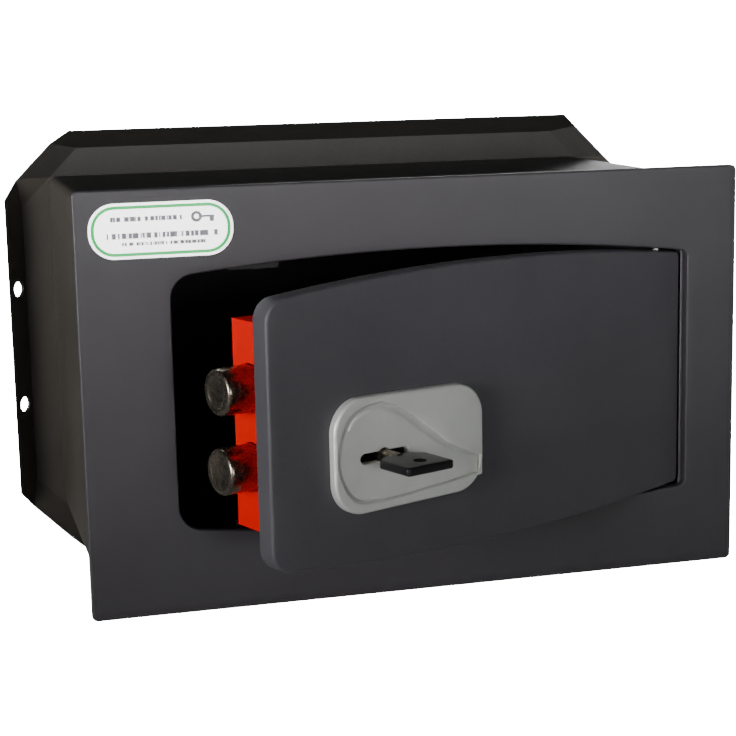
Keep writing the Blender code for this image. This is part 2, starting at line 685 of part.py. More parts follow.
def bolt_carriage(mat):
    """Angle plate that joins the bolts and runs behind the lock, with the crank's window."""
    bm = bmesh.new()
    plate_front = LOCK_DEPTH[1] + COVER_T + 2 * GAP + 0.0024
    plate_rear = plate_front + 0.0022
    left = BOLT_REAR_X + GAP
    inner = left + CARRIAGE_T
    right = LOCK_X[1] + 0.008
    leg_front, leg_rear = BOLT_DEPTH - 0.0075, BOLT_DEPTH + 0.0075
    outline = [(left, leg_front), (inner, leg_front), (inner, plate_front), (right, plate_front),
               (right, plate_rear), (inner, plate_rear), (inner, leg_rear), (left, leg_rear)]
    low = -0.034
    high = 0.024
    plan_bmesh(bm, outline, low, high - low)
    carriage = add_mesh("bolt_carriage", bm, mat)
    holes = bmesh.new()
    sweep = CRANK_PIN_RADIUS + 0.0030
    window = rounded_rectangle((KEY_X - sweep, KEY_X + sweep + BOLT_THROW),
                               (KEY_Z - sweep, KEY_Z + sweep), 0.003, 3)
    prism_bmesh(holes, window, plate_front - 0.003, plate_rear + 0.003)
    for x in GUIDE_X:
        slot = rounded_rectangle((x - 0.0019, x + BOLT_THROW + 0.0019), (GUIDE_Z - 0.0019, GUIDE_Z + 0.0019),
                                 0.0018, 3)
        prism_bmesh(holes, slot, plate_front - 0.003, plate_rear + 0.003)
    for level in BOLT_Z:
        start = (left - 0.001, FACE_Y + BOLT_DEPTH, level)
        profile = [(0.0, 0.0027), (0.0022, 0.0027), (CARRIAGE_T + 0.001, 0.0043), (0.006, 0.0043)]
        turned_bmesh(holes, profile, start, (1, 0, 0), 16)
    tool = cut_away(carriage, holes)
    return [carriage, tool]


def bolt_screws(mat):
    """Flush screws in the carriage's upright leg, one into the rear of each bolt."""
    made = []
    for level, name in zip(BOLT_Z, ("upper", "lower")):
        start = (BOLT_REAR_X + GAP, FACE_Y + BOLT_DEPTH, level)
        head = [(0.0, 0.0024), (0.0012, 0.0024), (CARRIAGE_T, 0.0040)]
        made.append(turned("bolt_screw_" + name, head, start, (1, 0, 0), mat, 16))
    return made


def drive_disc(mat):
    """Disc slotted for the key's tip, with a hub through the lock cover."""
    front = KEY_BIT_DEPTH[1] - 0.0016
    rear = LOCK_DEPTH[1] - GAP
    profile = [(0.0, DRIVE_R - 0.0009), (rear - front, DRIVE_R - 0.0009), (rear - front, 0.0040),
               (LOCK_DEPTH[1] + COVER_T + 2 * GAP - front, 0.0040)]
    disc = turned("drive_disc", profile, (KEY_X, FACE_Y + front, KEY_Z), (0, 1, 0), mat, 32)
    slot = bmesh.new()
    box_bmesh(slot, (KEY_X - 0.02, KEY_X + 0.02), (front - 0.001, KEY_BIT_DEPTH[1] + GAP),
              (KEY_Z - KEY_BIT_T / 2 - GAP, KEY_Z + KEY_BIT_T / 2 + GAP))
    first = cut_away(disc, slot)
    pilot = bmesh.new()
    prism_bmesh(pilot, circle(KEY_X, KEY_Z, KEY_STEM_R + GAP, 20), front - 0.001, KEY_BIT_DEPTH[1] + GAP)
    second = cutter("drive_disc_pilot_cutter", pilot)
    change = disc.modifiers.new("pilot", "BOOLEAN")
    change.operation = "DIFFERENCE"
    change.object = second
    return [disc, first, second]


def crank_arm(mat):
    """Arm on the hub with the pin that works in the carriage's window."""
    front = LOCK_DEPTH[1] + COVER_T + 3 * GAP
    outline = [(KEY_X + 0.0042 * math.cos(t), KEY_Z + 0.0042 * math.sin(t))
               for t in np.radians(np.linspace(180, 360, 10))]
    outline += [(KEY_X + 0.0028 * math.cos(t), KEY_Z + CRANK_PIN_RADIUS + 0.0028 * math.sin(t))
                for t in np.radians(np.linspace(0, 180, 10))]
    bm = bmesh.new()
    prism_bmesh(bm, outline, front, front + 0.0016)
    arm = add_mesh("crank_arm", bm, mat)
    pin = turned("crank_pin", [(0.0, 0.0020), (0.0055, 0.0020)],
                 (KEY_X, FACE_Y + front + 0.0016 + GAP, KEY_Z + CRANK_PIN_RADIUS), (0, 1, 0), mat, 16)
    return [arm, pin]


# ---- the key ----------------------------------------------------------------------------
def key_shaft(mat):
    """Round stem with a double bit whose steps match the levers."""
    front, rear = KEY_BIT_DEPTH
    length = rear - KEY_STEM_START
    stem_profile = [(0.0, KEY_STEM_R), (length - 0.0005, KEY_STEM_R), (length, 0.0024)]
    stem = turned("key_shaft", stem_profile, (KEY_X, FACE_Y + KEY_STEM_START, KEY_Z), (0, 1, 0), mat, 20)
    steps = (0.0, 0.0022, 0.0008, 0.0030, 0.0014, 0.0)
    pitch = (rear - front) / len(steps)
    right = []
    left = []
    for index, cut in enumerate(steps):
        right += [(KEY_BIT_HALF - cut, front + index * pitch), (KEY_BIT_HALF - cut, front + (index + 1) * pitch)]
        other = steps[len(steps) - 1 - index]
        left += [(other - KEY_BIT_HALF, front + index * pitch), (other - KEY_BIT_HALF, front + (index + 1) * pitch)]
    outline = right + list(reversed(left))
    bm = bmesh.new()
    plan_bmesh(bm, [(KEY_X + x, depth) for x, depth in outline], KEY_Z - KEY_BIT_T / 2, KEY_BIT_T)
    bits = cutter("key_bits", bm)
    change = stem.modifiers.new("bits", "BOOLEAN")
    change.operation = "UNION"
    change.object = bits
    return [stem, bits]


def key_bow(mat):
    """Moulded six-sided grip with a ring hole, lying in the plane of the key's bits."""
    front, rear = BOW_DEPTH
    half, cut, nip = BOW_HALF, 0.0055, 0.0012
    outline = [(cut - half, rear), (half - cut, rear), (half, rear - cut), (half, front + nip),
               (half - nip, front), (nip - half, front), (-half, front + nip), (-half, rear - cut)]
    bm = bmesh.new()
    plan_bmesh(bm, [(KEY_X + x, depth) for x, depth in outline], KEY_Z - BOW_T / 2, BOW_T)
    bow = add_mesh("key_bow", bm, mat, smooth=True)
    round_edges(bow, 0.0009, 2)
    holes = bmesh.new()
    turned_bmesh(holes, [(0.0, BOW_HOLE_R), (0.02, BOW_HOLE_R)],
                 (KEY_X, FACE_Y + BOW_HOLE_DEPTH, KEY_Z - 0.010), (0, 0, 1), 18)
    turned_bmesh(holes, [(0.0, KEY_STEM_R + GAP), (0.012, KEY_STEM_R + GAP)],
                 (KEY_X, FACE_Y + KEY_STEM_START - GAP, KEY_Z), (0, 1, 0), 20)
    return [bow, cut_away(bow, holes)]


# ---- assembly ---------------------------------------------------------------------------
def main():
    clear_scene()
    coat = material("charcoal_coat", (0.045, 0.045, 0.050), 0.55)
    dark_coat = material("dark_coat", (0.030, 0.028, 0.026), 0.60)
    steel = material("zinc_steel", (0.55, 0.55, 0.56), 0.35, 0.9)
    nickel = material("nickel", (0.72, 0.71, 0.70), 0.18, 1.0)
    red = material("red_paint", (0.58, 0.010, 0.006), 0.40)
    silver = material("satin_zinc", (0.50, 0.50, 0.51), 0.32, 0.8)
    brass = material("lever_brass", (0.62, 0.47, 0.20), 0.35, 0.9)
    bronze = material("bronze", (0.42, 0.28, 0.14), 0.45, 0.9)
    black_plastic = material("black_plastic", (0.012, 0.012, 0.013), 0.35)
    label_film = material("label_film", (0.85, 0.86, 0.84), 0.35)

    front_frame(coat)
    body_shell(dark_coat)
    back_pan(dark_coat)
    strike_post(dark_coat)
    hinge_parts(steel, bronze)
    hinge_strip(coat)
    door_stops(dark_coat)
    front_label(label_film)

    pivot = bpy.data.objects.new("door_pivot", None)
    bpy.context.scene.collection.objects.link(pivot)
    pivot.location = (PIVOT_X, FACE_Y + PIVOT_DEPTH, 0.0)
    riders = []
    riders += door_plate(coat)
    riders += hinge_side_bar(steel)
    riders += anti_drill_plate(steel)
    riders += lock_case(red)
    riders += case_fixings(steel)
    riders += bolt_guide(steel)
    riders += lock_housing(steel)
    riders += levers(brass)
    riders += lever_post(steel)
    riders += lever_springs(steel)
    riders += lock_cover(steel)
    riders += lock_screws(steel)
    riders += carriage_guides(steel)
    riders += escutcheon(silver)
    riders += escutcheon_inlay(silver)
    riders += bolts(nickel)
    riders += bolt_carriage(steel)
    riders += bolt_screws(steel)
    riders += drive_disc(brass)
    riders += crank_arm(steel)
    riders += key_shaft(nickel)
    riders += key_bow(black_plastic)
    for piece in riders:
        piece.parent = pivot
        piece.matrix_parent_inverse = Matrix.Translation(-Vector(pivot.location))
    pivot.rotation_euler = (0.0, 0.0, math.radians(DOOR_OPEN_DEG))


main()
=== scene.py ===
import json
import math

import bpy
import numpy as np
from mathutils import Matrix, Vector


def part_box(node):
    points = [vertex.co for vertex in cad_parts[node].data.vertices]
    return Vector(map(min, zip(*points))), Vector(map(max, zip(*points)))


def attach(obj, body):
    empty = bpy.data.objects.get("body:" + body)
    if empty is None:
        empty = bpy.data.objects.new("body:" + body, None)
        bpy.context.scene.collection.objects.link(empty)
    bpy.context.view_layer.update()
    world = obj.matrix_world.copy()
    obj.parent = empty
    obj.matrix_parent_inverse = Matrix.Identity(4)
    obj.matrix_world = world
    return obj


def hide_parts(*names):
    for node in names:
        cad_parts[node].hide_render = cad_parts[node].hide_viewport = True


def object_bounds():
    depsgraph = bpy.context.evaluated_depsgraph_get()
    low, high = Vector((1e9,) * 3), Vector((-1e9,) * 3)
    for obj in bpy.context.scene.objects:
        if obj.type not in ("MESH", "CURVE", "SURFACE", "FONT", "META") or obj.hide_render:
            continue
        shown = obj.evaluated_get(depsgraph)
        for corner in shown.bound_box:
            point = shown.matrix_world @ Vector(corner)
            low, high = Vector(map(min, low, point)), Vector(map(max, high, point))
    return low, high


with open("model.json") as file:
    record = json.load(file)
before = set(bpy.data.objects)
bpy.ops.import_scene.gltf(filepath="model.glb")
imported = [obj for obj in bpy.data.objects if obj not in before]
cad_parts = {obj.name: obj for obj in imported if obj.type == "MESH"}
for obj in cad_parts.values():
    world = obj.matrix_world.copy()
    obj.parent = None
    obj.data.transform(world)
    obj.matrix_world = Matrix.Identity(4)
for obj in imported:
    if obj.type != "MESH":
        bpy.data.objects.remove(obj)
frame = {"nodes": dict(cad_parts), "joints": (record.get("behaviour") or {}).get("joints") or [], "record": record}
cadBox = [list(corner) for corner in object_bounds()]
print("frame loaded:", len(frame["nodes"]), "nodes")


# the door's pieces are drawn shut, then turned to where the door stands at rest
joints = {joint["name"]: joint for joint in frame["joints"]}
swing = joints["door_swing"]
doorPivot = np.array(swing["pos_m"])
doorTurn = math.radians(-swing["range_deg"][0])


def turnDoor(points, angle=doorTurn):  # a plan rotation about the hinge line, whole array at once
    rel = np.asarray(points, float) - doorPivot
    turned = rel.copy()
    turned[..., 0] = rel[..., 0] * math.cos(angle) - rel[..., 1] * math.sin(angle)
    turned[..., 1] = rel[..., 0] * math.sin(angle) + rel[..., 1] * math.cos(angle)
    return turned + doorPivot


def shutPlace(point):  # where a point at rest lies once the door is shut
    return turnDoor(np.array(point, float), -doorTurn)


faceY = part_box("front_frame")[0][1]  # plane of the frame's front face


# a grid of points (rows, columns, xyz) becomes one mesh; columns close on themselves, rows may close too,
# and an open end row may be closed with a fan round its middle
def gridMesh(name, grid, closeRows=False, capStart=False, capEnd=False, smooth=40):
    rows, cols = grid.shape[:2]
    points = grid.reshape(-1, 3)
    rowIds = np.arange(rows if closeRows else rows - 1)
    a = rowIds[:, None] * cols + np.arange(cols)[None, :]
    b = rowIds[:, None] * cols + (np.arange(cols)[None, :] + 1) % cols
    nextRow = ((rowIds + 1) % rows)[:, None] * cols
    c = nextRow + (np.arange(cols)[None, :] + 1) % cols
    d = nextRow + np.arange(cols)[None, :]
    quads = np.stack([a, b, c, d], -1).reshape(-1, 4)
    tris = np.zeros((0, 3), int)
    ring = np.arange(cols)
    if capStart:
        points = np.vstack([points, grid[0].mean(0)])
        middle = np.full(cols, len(points) - 1)
        tris = np.vstack([tris, np.stack([np.roll(ring, -1), ring, middle], -1)])
    if capEnd:
        last = (rows - 1) * cols
        points = np.vstack([points, grid[-1].mean(0)])
        middle = np.full(cols, len(points) - 1)
        tris = np.vstack([tris, np.stack([last + ring, last + np.roll(ring, -1), middle], -1)])
    # signed volume of the closed skin; a negative one means the faces look inwards
    corners = np.vstack([quads[:, :3], quads[:, [0, 2, 3]], tris])
    first, second, third = points[corners[:, 0]], points[corners[:, 1]], points[corners[:, 2]]
    volume = np.einsum("ij,ij->i", first, np.cross(second, third)).sum()
    if volume < 0:
        quads = quads[:, ::-1]
        tris = tris[:, ::-1]
    loops = np.concatenate([quads.ravel(), tris.ravel()])
    starts = np.concatenate([np.arange(len(quads)) * 4, len(quads) * 4 + np.arange(len(tris)) * 3])
    mesh = bpy.data.meshes.new(name)
    mesh.vertices.add(len(points))
    mesh.vertices.foreach_set("co", points.astype(np.float32).ravel())
    mesh.loops.add(len(loops))
    mesh.loops.foreach_set("vertex_index", loops.astype(np.int32))
    mesh.polygons.add(len(starts))
    mesh.polygons.foreach_set("loop_start", starts.astype(np.int32))
    mesh.update(calc_edges=True)
    mesh.validate()
    mesh.shade_smooth()
    mesh.set_sharp_from_angle(angle=math.radians(smooth))
    return mesh


def addPiece(name, mesh, material, body, slot, *nodes):
    piece = bpy.data.objects.new(name, mesh)
    bpy.context.scene.collection.objects.link(piece)
    mesh.materials.append(material)
    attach(piece, body)
    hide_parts(*nodes)


# points of a polygon with a round of its own at each corner; arcs get arcSteps points, sides are split finely
def roundedPolygon(corners, radii, arcSteps=14, sideSteps=10):
    corners = np.array(corners, float)
    count = len(corners)
    arcs = []
    for i in range(count):
        here, before, after = corners[i], corners[i - 1], corners[(i + 1) % count]
        u = (before - here) / np.linalg.norm(before - here)
        w = (after - here) / np.linalg.norm(after - here)
        half = math.acos(np.clip(u @ w, -1, 1)) / 2
        reach = radii[i] / math.tan(half)
        centre = here + (u + w) / np.linalg.norm(u + w) * radii[i] / math.sin(half)
        start, end = here + u * reach - centre, here + w * reach - centre
        a0, a1 = math.atan2(start[1], start[0]), math.atan2(end[1], end[0])
        sweep = (a1 - a0 + math.pi) % (2 * math.pi) - math.pi
        t = a0 + sweep * np.linspace(0, 1, arcSteps)
        arcs.append(centre + radii[i] * np.stack([np.cos(t), np.sin(t)], -1))
    outline = []
    for i, arc in enumerate(arcs):
        following = arcs[(i + 1) % count][0]
        share = np.linspace(0, 1, sideSteps + 1)[1:-1, None]
        outline += [arc, arc[-1] + (following - arc[-1]) * share]
    return np.vstack(outline)


# straight sides, a circular arch above and below, and fillets that touch both
def archedOutline(left, right, peak, leftR, rightR, archX, archR, archSteps=60, cornerSteps=14, sideSteps=12):
    archZ = peak - archR
    rightX, leftX = right - rightR, left + leftR
    rightZ = archZ + math.sqrt((archR - rightR) ** 2 - (rightX - archX) ** 2)
    leftZ = archZ + math.sqrt((archR - leftR) ** 2 - (leftX - archX) ** 2)
    rightMeet = math.atan2(rightZ - archZ, rightX - archX)
    leftMeet = math.atan2(leftZ - archZ, leftX - archX)
    parts = []
    for x, z, radius, start, end, steps in ((rightX, rightZ, rightR, 0, rightMeet, cornerSteps),
                                            (archX, archZ, archR, rightMeet, leftMeet, archSteps),
                                            (leftX, leftZ, leftR, leftMeet, math.pi, cornerSteps)):
        t = np.linspace(start, end, steps)[1 if parts else 0:]
        parts.append(np.stack([x + radius * np.cos(t), z + radius * np.sin(t)], -1))
    top = np.vstack(parts)
    side = np.linspace(leftZ, -leftZ, sideSteps + 1)[1:-1]
    leftSide = np.stack([np.full(len(side), left), side], -1)
    side = np.linspace(-rightZ, rightZ, sideSteps + 1)[1:-1]
    rightSide = np.stack([np.full(len(side), right), side], -1)
    return np.vstack([top, leftSide, top[::-1] * [1, -1], rightSide])


def anglesOf(outline, centre):  # angle of every point, seen from the centre
    rel = outline - centre
    return np.mod(np.arctan2(rel[:, 1], rel[:, 0]), 2 * np.pi)


# the same rays from one centre cut every outline, so that their points pair up
def matchedLoops(centre, *outlines, least=1e-4):
    centre = np.array(centre, float)
    angles = np.sort(np.concatenate([anglesOf(outline, centre) for outline in outlines]))
    angles = angles[np.concatenate([[True], np.diff(angles) > least])]
    loops = []
    for outline in outlines:
        closed = np.vstack([outline, outline[:1]]) - centre
        loops.append(centre + rayHits(closed, angles))
    return loops


# exact meeting point of each ray with the outline's own chord at that angle
def rayHits(closed, angles):
    turn = np.unwrap(np.arctan2(closed[:, 1], closed[:, 0]))
    if turn[-1] < turn[0]:
        closed, turn = closed[::-1], turn[::-1]
    base = turn[0] + np.mod(angles - turn[0], 2 * np.pi)
    index = np.clip(np.searchsorted(turn, base, side="right") - 1, 0, len(closed) - 2)
    p, q = closed[index], closed[index + 1]
    ray = np.stack([np.cos(angles), np.sin(angles)], -1)
    edge = q - p
    across = ray[:, 0] * edge[:, 1] - ray[:, 1] * edge[:, 0]
    dist = (p[:, 0] * edge[:, 1] - p[:, 1] * edge[:, 0]) / across
    return ray * dist[:, None]


def outwardOf(loop):  # unit normals of a counter-clockwise loop, pointing away from its inside
    edge = np.roll(loop, -1, 0) - np.roll(loop, 1, 0)
    normal = np.stack([edge[:, 1], -edge[:, 0]], -1)
    return normal / np.linalg.norm(normal, axis=1, keepdims=True)


def roundProfile(radius, steps=6):  # quarter round: (inset, drop) pairs from the face to the side
    t = np.linspace(0, math.pi / 2, steps)
    return np.stack([radius * (1 - np.sin(t)), radius * (1 - np.cos(t))], -1)


def atDepth(loop, depth):  # plane points (u, v) at one depth, as (u, depth, v)
    return np.stack([loop[:, 0], np.broadcast_to(depth, len(loop)), loop[:, 1]], -1)


def onFace(grid):  # depths behind the front face become world y
    return grid + np.array([0.0, faceY, 0.0])


# a plate between two loops: rows run round its section, hole wall, front face, rim, rear face
def ringPlate(inner, outer, front, rear, outerRound, innerRound, faceRows=6, rearRound=None):
    inNormal, outNormal = outwardOf(inner), outwardOf(outer)
    rearRound = outerRound * 0.6 if rearRound is None else rearRound
    rows = []
    for inset, drop in roundProfile(innerRound)[::-1]:
        rows.append(atDepth(inner + inNormal * inset, front + drop))
    start, end = inner + inNormal * innerRound, outer - outNormal * outerRound
    for share in np.linspace(0, 1, faceRows + 2)[1:-1]:
        rows.append(atDepth(start + (end - start) * share, front))
    for inset, drop in roundProfile(outerRound):
        rows.append(atDepth(outer - outNormal * inset, front + drop))
    for inset, drop in roundProfile(rearRound)[::-1]:
        rows.append(atDepth(outer - outNormal * inset, rear - drop))
    for share in np.linspace(1, 0, faceRows + 2)[1:-1]:
        rows.append(atDepth(start + (end - start) * share, rear))
    rows.append(atDepth(inner, rear))
    return np.stack(rows)


# a profile of (distance, radius) pairs spun about an axis: start + axis * distance + spoke(angle) * radius
def turnedGrid(profile, start, axis, columns=64):
    axis = np.array(axis, float) / np.linalg.norm(axis)
    side = np.cross(axis, [0.0, 0.0, 1.0])  # the axis is never upright here
    side = side / np.linalg.norm(side)
    other = np.cross(axis, side)
    t = np.linspace(0, 2 * np.pi, columns, endpoint=False)
    spoke = np.cos(t)[:, None] * side + np.sin(t)[:, None] * other
    profile = np.array(profile, float)
    return np.array(start) + profile[:, 0, None, None] * axis + profile[:, 1, None, None] * spoke[None]


def newMaterial(name):
    material = bpy.data.materials.new(name)
    material.use_nodes = True
    nodes = material.node_tree.nodes
    return material, nodes, material.node_tree.links, nodes["Principled BSDF"]


def ramp(nodes, stops):
    node = nodes.new("ShaderNodeValToRGB")
    while len(node.color_ramp.elements) < len(stops):
        node.color_ramp.elements.new(0.5)
    for element, (place, colour) in zip(node.color_ramp.elements, stops):
        element.position = place
        element.color = (*colour, 1.0)
    return node


def noise(nodes, links, coord, scale, detail=3.0, roughness=0.5):
    node = nodes.new("ShaderNodeTexNoise")
    node.inputs["Scale"].default_value = scale
    node.inputs["Detail"].default_value = detail
    node.inputs["Roughness"].default_value = roughness
    links.new(coord, node.inputs["Vector"])
    return node


def bump(nodes, links, height, shader, strength, distance):
    node = nodes.new("ShaderNodeBump")
    node.inputs["Strength"].default_value = strength
    node.inputs["Distance"].default_value = distance
    links.new(height, node.inputs["Height"])
    links.new(node.outputs["Normal"], shader.inputs["Normal"])


# powder coat: cloudy tone times a fine grain, which also sets the gloss and the bump
def powderCoat(name, dark, light, values):
    material, nodes, links, shader = newMaterial(name)
    coord = nodes.new("ShaderNodeTexCoord").outputs["Object"]
    cloud = noise(nodes, links, coord, values["cloudScale"], 3.0, 0.55)
    tone = ramp(nodes, [(0.35, dark), (0.65, light)])
    links.new(cloud.outputs["Fac"], tone.inputs["Fac"])
    grain = noise(nodes, links, coord, values["grainScale"], 2.0, 0.6)
    low, high = 1 - values["fleck"], 1 + values["fleck"]
    fleck = ramp(nodes, [(0.30, (low, low, low)), (0.72, (high, high, high))])
    links.new(grain.outputs["Fac"], fleck.inputs["Fac"])
    mix = nodes.new("ShaderNodeMix")
    mix.data_type = "RGBA"
    mix.blend_type = "MULTIPLY"
    mix.inputs["Factor"].default_value = 1.0
    links.new(tone.outputs["Color"], mix.inputs[6])
    links.new(fleck.outputs["Color"], mix.inputs[7])
    links.new(mix.outputs[2], shader.inputs["Base Color"])
    gloss = ramp(nodes, [(0.3, (values["roughLow"],) * 3), (0.7, (values["roughHigh"],) * 3)])
    links.new(grain.outputs["Fac"], gloss.inputs["Fac"])
    links.new(gloss.outputs["Color"], shader.inputs["Roughness"])
    shader.inputs["Specular IOR Level"].default_value = values["specular"]
    bump(nodes, links, grain.outputs["Fac"], shader, values["bump"], values["bumpDepth"])
    return material


def calc(nodes, links, operation, *terms):  # one Math node; terms are numbers or sockets
    node = nodes.new("ShaderNodeMath")
    node.operation = operation
    for socket, term in zip(node.inputs, terms):
        if isinstance(term, (int, float)):
            socket.default_value = term
        else:
            links.new(term, socket)
    return node.outputs["Value"]


# painted shade: the box's inside reach and depths, the near-black shade colour, and how much shade is painted on
# the top face
paintedShadeValues = {"reachX": 0.1605, "reachZ": 0.0955, "frontY": -0.2075, "rearY": -0.001,
               "topZ": 0.0975, "topShare": 0.72, "dark": (0.0015, 0.0013, 0.0012, 1)}


# paints shade into the same coat: near black inside the box (|x|, |z| and y within its walls), painted shade, and
# dim on top (z above topZ), painted shade on the top face
def paintShadeInsideAndOnTop(material, values):
    nodes, links = material.node_tree.nodes, material.node_tree.links
    shader = nodes["Principled BSDF"]
    split = nodes.new("ShaderNodeSeparateXYZ")
    links.new(nodes.new("ShaderNodeTexCoord").outputs["Object"], split.inputs["Vector"])
    wide = calc(nodes, links, "ABSOLUTE", split.outputs["X"])
    tall = calc(nodes, links, "ABSOLUTE", split.outputs["Z"])
    within = calc(nodes, links, "MULTIPLY", calc(nodes, links, "LESS_THAN", wide, values["reachX"]),
                  calc(nodes, links, "LESS_THAN", tall, values["reachZ"]))
    for operation, limit in (("GREATER_THAN", values["frontY"]), ("LESS_THAN", values["rearY"])):
        within = calc(nodes, links, "MULTIPLY", within,
                      calc(nodes, links, operation, split.outputs["Y"], limit))
    above = calc(nodes, links, "GREATER_THAN", split.outputs["Z"], values["topZ"])
    above = calc(nodes, links, "MULTIPLY", above, values["topShare"])
    mix = nodes.new("ShaderNodeMix")
    mix.data_type = "RGBA"
    # the painted shade's near-black colour
    mix.inputs[7].default_value = values["dark"]
    links.new(calc(nodes, links, "MAXIMUM", within, above), mix.inputs["Factor"])
    links.new(shader.inputs["Base Color"].links[0].from_socket, mix.inputs[6])
    links.new(mix.outputs[2], shader.inputs["Base Color"])


# plated or machined metal: soft tone change, and a fine grain in the roughness and the bump
def platedMetal(name, dark, light, values):
    material, nodes, links, shader = newMaterial(name)
    coord = nodes.new("ShaderNodeTexCoord").outputs["Object"]
    cloud = noise(nodes, links, coord, values["cloudScale"], 4.0, 0.6)
    tone = ramp(nodes, [(0.32, dark), (0.68, light)])
    links.new(cloud.outputs["Fac"], tone.inputs["Fac"])
    links.new(tone.outputs["Color"], shader.inputs["Base Color"])
    grain = noise(nodes, links, coord, values["grainScale"], 3.0, 0.6)
    gloss = ramp(nodes, [(0.3, (values["roughLow"],) * 3), (0.7, (values["roughHigh"],) * 3)])
    links.new(grain.outputs["Fac"], gloss.inputs["Fac"])
    links.new(gloss.outputs["Color"], shader.inputs["Roughness"])
    shader.inputs["Metallic"].default_value = values.get("metallic", 1.0)
    bump(nodes, links, grain.outputs["Fac"], shader, values["bump"], values["bumpDepth"])
    return material


coatValues = {"cloudScale": 9.0, "grainScale": 1400.0, "roughLow": 0.42, "roughHigh": 0.58,
              "specular": 0.5, "bump": 0.35, "bumpDepth": 0.00012, "fleck": 0.10}
# the door's coat is drawn lighter than the frame's, though both are one finish: painted light on the door
frameCoat = powderCoat("frameCoat", (0.031, 0.028, 0.032), (0.039, 0.036, 0.041), coatValues)
doorCoat = powderCoat("doorCoat", (0.062, 0.060, 0.068), (0.075, 0.073, 0.082), coatValues)
bodyCoat = powderCoat("bodyCoat", (0.036, 0.031, 0.025), (0.052, 0.045, 0.036),
                      {**coatValues, "roughLow": 0.5, "roughHigh": 0.7})
redPaint = powderCoat("redPaint", (0.66, 0.0010, 0.0004), (0.72, 0.0016, 0.0008),
                      {**coatValues, "grainScale": 2200.0, "fleck": 0.03, "roughLow": 0.40, "roughHigh": 0.50,
                       "specular": 0.06, "bump": 0.05})
nickelPlate = platedMetal("nickelPlate", (0.17, 0.14, 0.11), (0.34, 0.30, 0.24),
                          {"cloudScale": 110.0, "grainScale": 500.0, "roughLow": 0.20, "roughHigh": 0.34,
                           "bump": 0.10, "bumpDepth": 0.00005})
zincPlate = platedMetal("zincPlate", (0.42, 0.43, 0.43), (0.56, 0.56, 0.54),
                        {"cloudScale": 45.0, "grainScale": 700.0, "roughLow": 0.28,
                         "roughHigh": 0.42, "bump": 0.15, "bumpDepth": 0.00006})
satinZinc = platedMetal("satinZinc", (0.66, 0.68, 0.64), (0.76, 0.77, 0.73),
                        {"cloudScale": 30.0, "grainScale": 1500.0, "metallic": 0.45, "roughLow": 0.40,
                         "roughHigh": 0.50, "bump": 0.12, "bumpDepth": 0.00004})
leverBrass = platedMetal("leverBrass", (0.50, 0.36, 0.13), (0.62, 0.47, 0.20),
                         {"cloudScale": 50.0, "grainScale": 800.0, "roughLow": 0.3,
                          "roughHigh": 0.42, "bump": 0.12, "bumpDepth": 0.00005})
bushBronze = platedMetal("bushBronze", (0.32, 0.20, 0.09), (0.42, 0.28, 0.14),
                         {"cloudScale": 80.0, "grainScale": 900.0, "roughLow": 0.4,
                          "roughHigh": 0.55, "bump": 0.2, "bumpDepth": 0.00005})
blackMoulding = powderCoat("blackMoulding", (0.006, 0.006, 0.007), (0.010, 0.010, 0.011),
                           {**coatValues, "grainScale": 2600.0, "roughLow": 0.28, "roughHigh": 0.38,
                            "bump": 0.12})
labelFilm = powderCoat("labelFilm", (0.80, 0.81, 0.79), (0.86, 0.87, 0.85),
                       {**coatValues, "grainScale": 2000.0, "roughLow": 0.3, "roughHigh": 0.4, "bump": 0.03})

# paints shade into the body coat: near black inside the box, darker on its top face
paintShadeInsideAndOnTop(bodyCoat, paintedShadeValues)

# lengths are metres from the sticker's middle; each row is (height, half height, start, end, grain)
printValues = {"round": 0.0125, "line": 0.0021, "lineHalf": 0.00075, "solid": 0.47,
               "rows": [(0.0056, 0.0011, -0.024, 0.010, 420.0), (-0.0023, 0.0013, -0.026, 0.027, 330.0),
                        (-0.0062, 0.0008, -0.019, 0.021, 620.0)],
               "keyX": 0.0170, "keyZ": 0.0056, "ringR": 0.0019, "ringHalf": 0.0007,
               "stemX": 0.0054, "stemHalf": (0.0032, 0.0005), "teethX": 0.0074, "teethDrop": 0.0013,
               "teethHalf": (0.0010, 0.0013), "green": (0.0, 0.22, 0.045, 1), "ink": (0.06, 0.06, 0.07, 1),
               "glow": 2.6}


